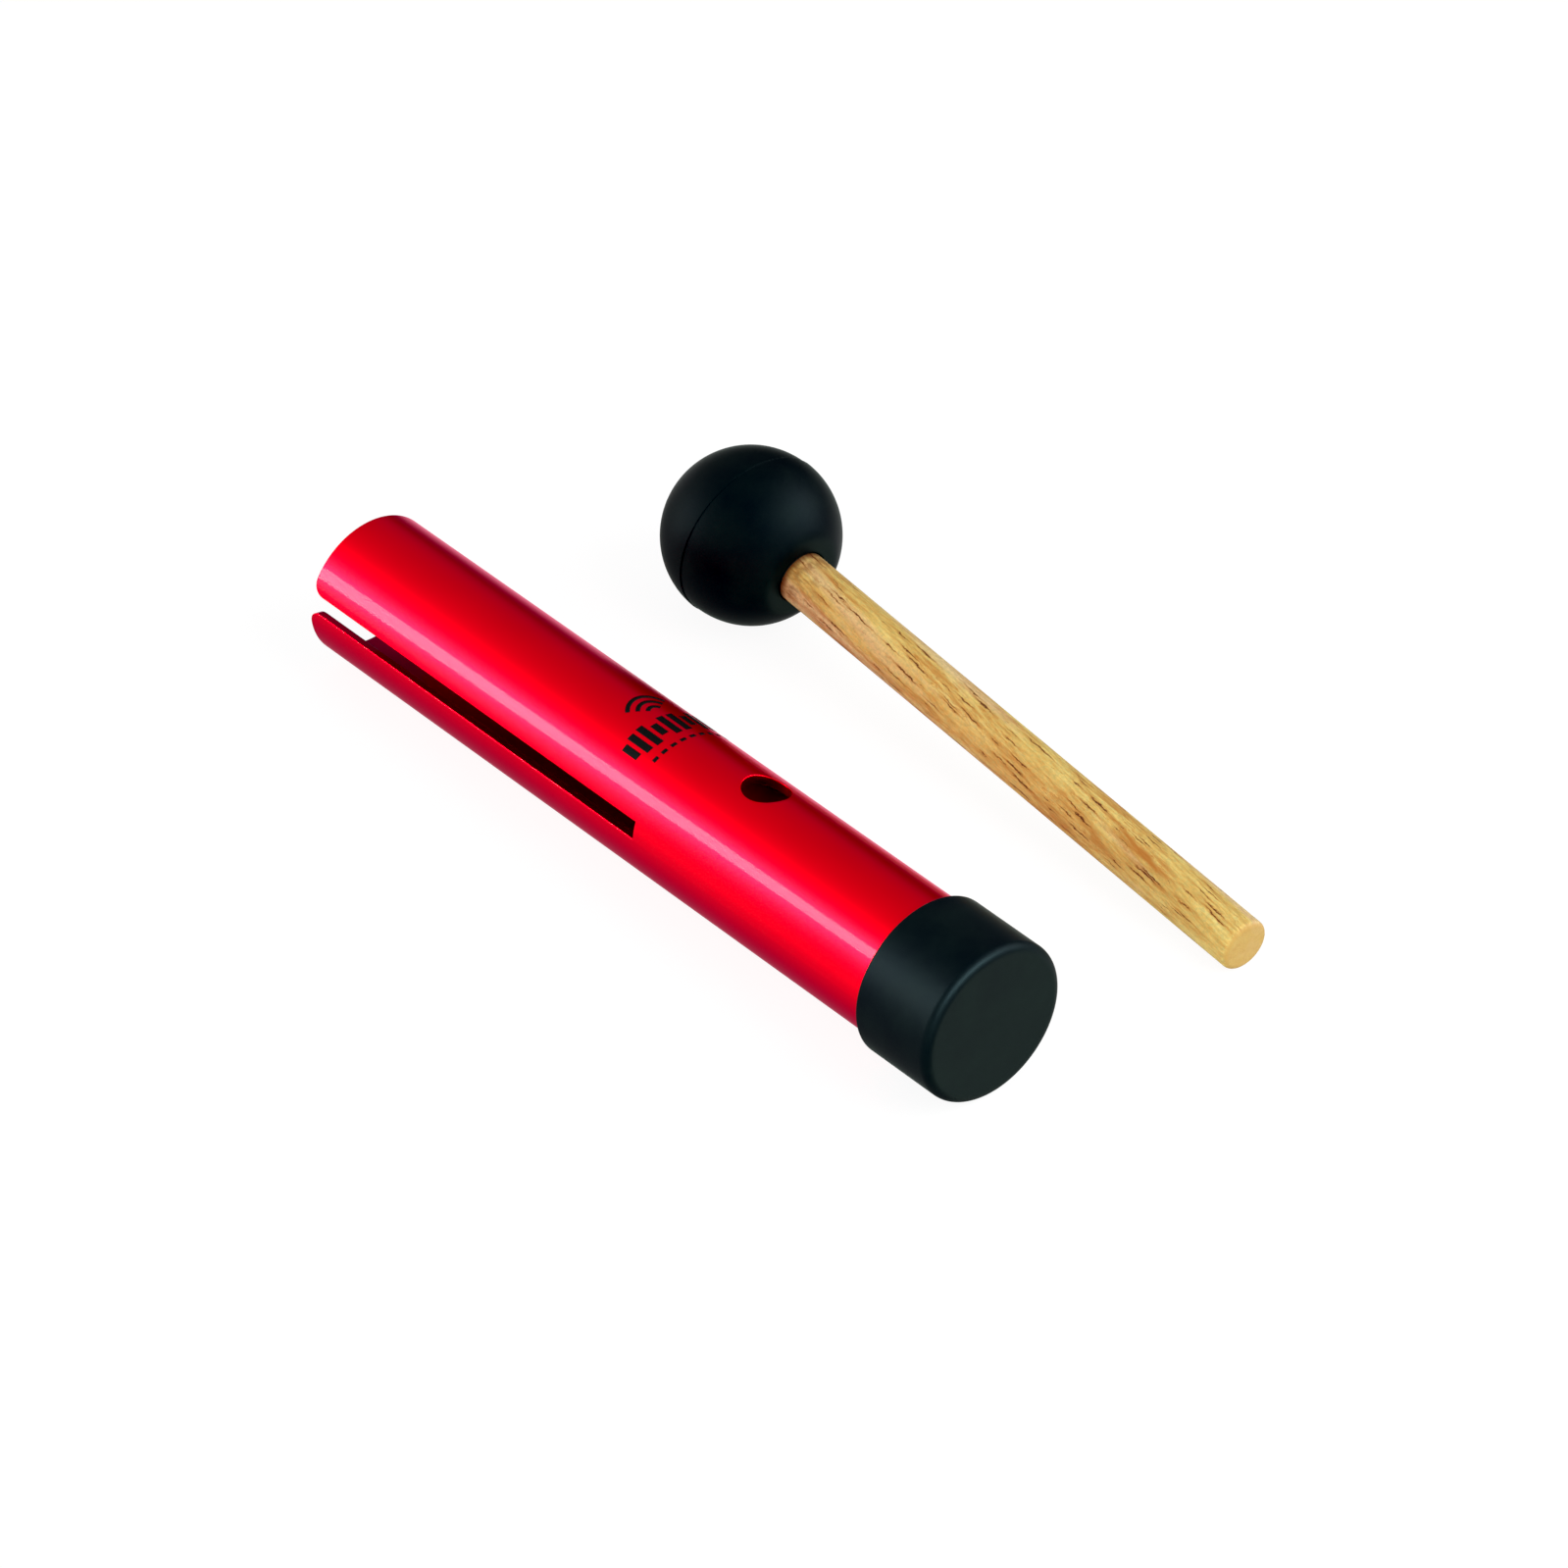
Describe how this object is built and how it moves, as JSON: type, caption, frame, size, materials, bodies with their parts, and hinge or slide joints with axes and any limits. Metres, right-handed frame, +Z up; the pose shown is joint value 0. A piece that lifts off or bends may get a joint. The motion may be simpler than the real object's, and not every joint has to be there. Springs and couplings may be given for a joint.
{
  "type": "wah-wah tube",
  "caption": "Slotted metal tube chime with a thumb hole and a rubber end cap, lying beside its rubber-headed wooden beater.",
  "frame": {"origin": "on the plane that both pieces lie on, at the middle of the whole footprint", "axes": "+Z up; +X from the tube's open end towards its rubber cap; +Y from the tube towards the beater"},
  "size_m": [0.1992, 0.1057, 0.0383],
  "materials": {
    "red_anodised": "gloss",
    "black_rubber": "satin",
    "pale_wood": "satin",
    "black_ink": "satin"
  },
  "bodies": {
    "tube": {"slotted_tube": "red_anodised", "end_cap": "black_rubber"},
    "beater": {"beater_stick": "pale_wood", "beater_head": "black_rubber"}
  },
  "joints": [
    {"name": "beater_swing", "type": "hinge", "parent": "tube", "child": "beater", "pos_m": [0.09922, 0.02983, 0.00563], "axis": [0, 0, 1], "range_deg": [-60, 12.2]}
  ]
}
